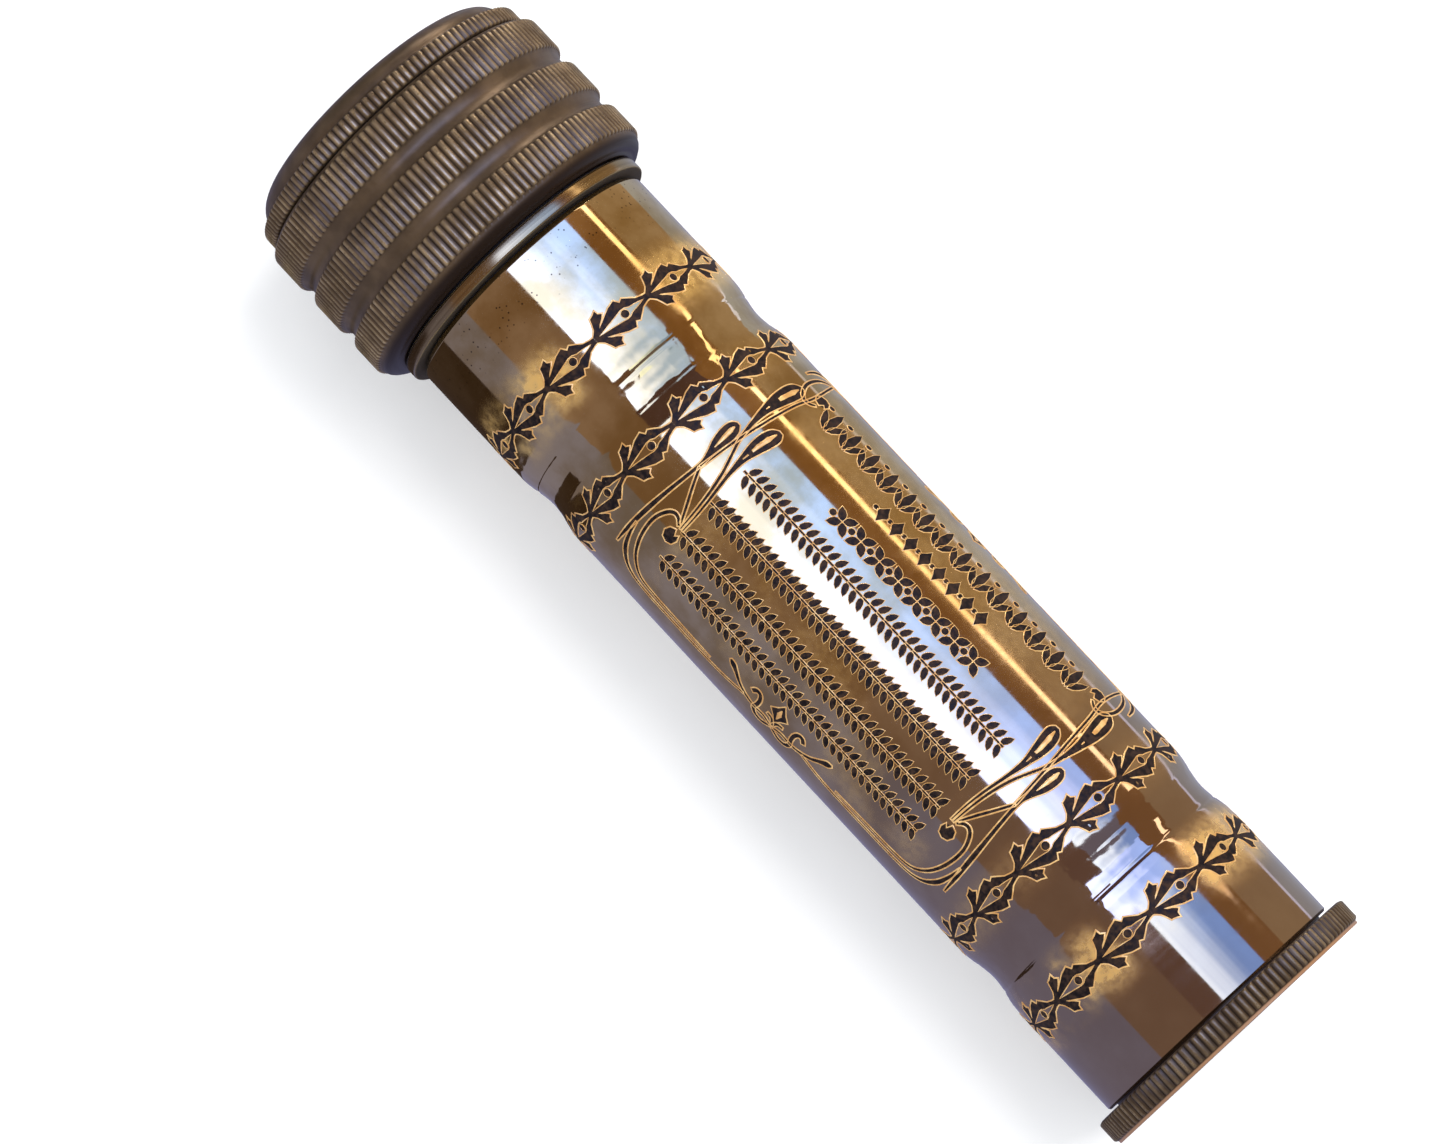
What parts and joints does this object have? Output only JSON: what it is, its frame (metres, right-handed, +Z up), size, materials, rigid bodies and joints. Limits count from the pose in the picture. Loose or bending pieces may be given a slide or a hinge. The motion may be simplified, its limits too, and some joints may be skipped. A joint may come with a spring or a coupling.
{
  "type": "kaleidoscope",
  "caption": "Hand-held brass kaleidoscope: a mirror tube with a knurled eyepiece cap and a stepped, knurled head that turns about the tube and holds a window of loose coloured glass.",
  "frame": {"origin": "under the middle of the instrument's length, level with the lowest line of the turning head", "axes": "+X along the optical axis, from the eyepiece to the head; +Z up, with the tube lying on its side"},
  "size_m": [0.167, 0.0468, 0.0467],
  "materials": {
    "polished_brass": "polished, with a mottled golden patina and dark engraving",
    "bronzed_brass": "satin, chemically darkened to bronze brown",
    "plain_brass": "machined",
    "mirror_glass": "front-silvered",
    "clear_glass": "polished",
    "frosted_glass": "lightly ground on the inside",
    "black_card": "matt black card",
    "kraft_card": "wound kraft card",
    "black_fibre": "vulcanised fibre",
    "ruby_glass": "polished",
    "sky_glass": "polished",
    "amber_glass": "polished",
    "violet_glass": "polished",
    "green_glass": "polished",
    "cobalt_glass": "polished",
    "rose_glass": "polished",
    "turquoise_glass": "polished",
    "gold_glass": "polished",
    "scarlet_glass": "polished",
    "emerald_glass": "polished",
    "pearl_glass": "milky",
    "indigo_glass": "polished",
    "topaz_glass": "polished"
  },
  "bodies": {
    "tube_body": {"tube": "polished_brass", "head_bush": "polished_brass", "retaining_ring": "plain_brass", "friction_washer": "black_fibre", "eyepiece_cap": "bronzed_brass", "eye_window": "clear_glass", "eye_window_ring": "plain_brass", "eye_mask": "black_card", "mirror_1": "mirror_glass", "mirror_2": "mirror_glass", "mirror_3": "mirror_glass", "mirror_sleeve": "kraft_card", "mirror_spacer_front": "black_card", "mirror_spacer_rear": "black_card"},
    "head": {"head_barrel": "bronzed_brass", "bezel": "bronzed_brass", "chamber_back_glass": "clear_glass", "chamber_ring": "plain_brass", "chamber_front_glass": "frosted_glass"},
    "loose_glass": {"glass_bead_ruby": "ruby_glass", "glass_cane_sky": "sky_glass", "glass_tile_amber": "amber_glass", "glass_rod_violet": "violet_glass", "glass_crystal_green": "green_glass", "glass_bead_cobalt": "cobalt_glass", "glass_star_rose": "rose_glass", "glass_chip_turquoise": "turquoise_glass", "glass_cane_gold": "gold_glass", "glass_chip_scarlet": "scarlet_glass", "glass_rod_emerald": "emerald_glass", "glass_bead_pearl": "pearl_glass", "glass_tile_indigo": "indigo_glass", "glass_crystal_topaz": "topaz_glass"}
  },
  "joints": [
    {"name": "head_turn", "type": "hinge", "parent": "tube_body", "child": "head", "pos_m": [0.0585, 0, 0.02335], "axis": [1, 0, 0], "continuous": true},
    {"name": "glass_tumble", "type": "hinge", "parent": "tube_body", "child": "loose_glass", "pos_m": [0.0742, 0, 0.02335], "axis": [1, 0, 0], "continuous": true}
  ]
}
